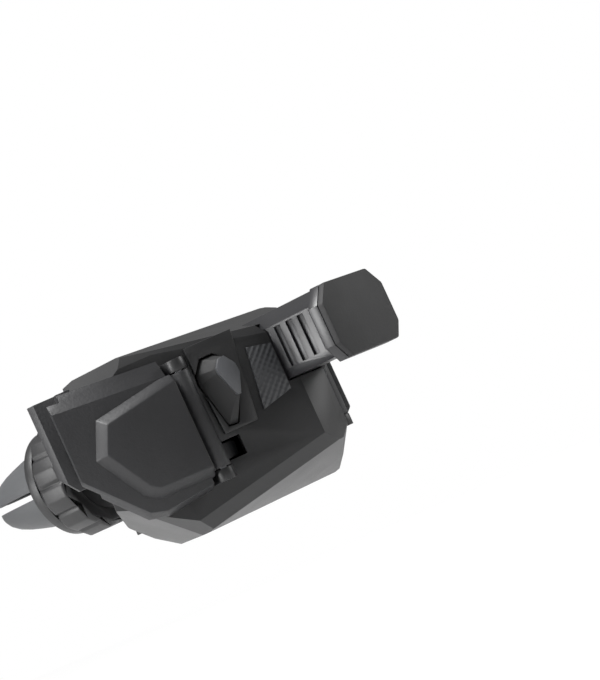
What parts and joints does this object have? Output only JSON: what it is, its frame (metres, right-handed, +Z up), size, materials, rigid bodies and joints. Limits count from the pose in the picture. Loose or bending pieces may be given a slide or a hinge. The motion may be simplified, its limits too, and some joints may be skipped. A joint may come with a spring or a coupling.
{
  "type": "air vent phone holder",
  "caption": "Prow-shaped phone holder that clips into a car air vent; the phone presses a trigger and two hinged arms close on its edges.",
  "frame": {"origin": "root of the crossed slots between the four rubber fingers, where a vent slat's edge stops", "axes": "+Y into the air vent, -Y towards the driver, +X to the right seen from the driver, +Z up"},
  "size_m": [0.097, 0.1112, 0.0416],
  "materials": {
    "shell_plastic": "satin moulded",
    "arm_plastic": "spark-textured",
    "patch_plastic": "diagonal weave",
    "trigger_plastic": "smooth moulded",
    "trigger_rubber": "soft smooth",
    "skirt_rubber": "soft matt",
    "cap_plastic": "satin",
    "finger_rubber": "smooth",
    "clip_plastic": "satin moulded",
    "steel": "plain"
  },
  "bodies": {
    "clip": {"clip_core": "clip_plastic", "finger_upper_left": "finger_rubber", "finger_upper_right": "finger_rubber", "finger_lower_left": "finger_rubber", "finger_lower_right": "finger_rubber"},
    "swivel": {"lock_ring": "clip_plastic", "swivel_fork": "clip_plastic", "tilt_pin": "steel"},
    "knuckle": {"knuckle": "clip_plastic"},
    "housing": {"yoke": "clip_plastic", "pan_pin": "steel", "front_cover": "shell_plastic", "rear_cover": "shell_plastic", "face_panel_left": "shell_plastic", "face_panel_right": "shell_plastic", "grip_patch_left": "patch_plastic", "grip_patch_right": "patch_plastic", "arm_pin_left": "steel", "arm_pin_right": "steel", "cover_screw_left": "steel", "cover_screw_right": "steel"},
    "trigger": {"trigger": "trigger_plastic", "trigger_pad": "trigger_rubber", "trigger_carriage": "trigger_plastic", "trigger_spring_left": "steel", "trigger_spring_right": "steel"},
    "left_arm": {"arm_left": "arm_plastic", "arm_pad_left": "arm_plastic", "tip_pad_left": "trigger_rubber"},
    "right_arm": {"arm_right": "arm_plastic", "arm_pad_right": "arm_plastic", "tip_pad_right": "trigger_rubber"},
    "left_button": {"button_skirt_left": "skirt_rubber", "button_cap_left": "cap_plastic"},
    "right_button": {"button_skirt_right": "skirt_rubber", "button_cap_right": "cap_plastic"}
  },
  "joints": [
    {"name": "clip_spin", "type": "hinge", "parent": "clip", "child": "swivel", "pos_m": [0, -0.006, 0], "axis": [0, 1, 0], "range_deg": [-90, 90]},
    {"name": "head_tilt", "type": "hinge", "parent": "swivel", "child": "knuckle", "pos_m": [0, -0.0155, 0], "axis": [1, 0, 0], "range_deg": [-20, 20]},
    {"name": "head_pan", "type": "hinge", "parent": "knuckle", "child": "housing", "pos_m": [0, -0.023, 0], "axis": [0, 0, 1], "range_deg": [-25, 25]},
    {"name": "trigger_slide", "type": "slide", "parent": "housing", "child": "trigger", "axis": [0, 1, 0], "range_m": [0, 0.012], "stiffness_N_per_m": 120, "springref_m": -0.004},
    {"name": "left_arm_hinge", "type": "hinge", "parent": "housing", "child": "left_arm", "pos_m": [-0.02535, -0.06036, 0], "axis": [0, 0, 1], "range_deg": [0, 100]},
    {"name": "right_arm_hinge", "type": "hinge", "parent": "housing", "child": "right_arm", "pos_m": [0.02535, -0.06036, 0], "axis": [0, 0, 1], "range_deg": [-100, 0]},
    {"name": "left_button_press", "type": "slide", "parent": "housing", "child": "left_button", "axis": [0.6266, 0.7793, 0], "range_m": [0, 0.0012], "stiffness_N_per_m": 400, "springref_m": -0.0006},
    {"name": "right_button_press", "type": "slide", "parent": "housing", "child": "right_button", "axis": [-0.6266, 0.7793, 0], "range_m": [0, 0.0012], "stiffness_N_per_m": 400, "springref_m": -0.0006}
  ],
  "couplings": [
    {"joint": "left_arm_hinge", "follows": "trigger_slide", "rad_per_m": 145.4},
    {"joint": "right_arm_hinge", "follows": "trigger_slide", "rad_per_m": -145.4}
  ]
}
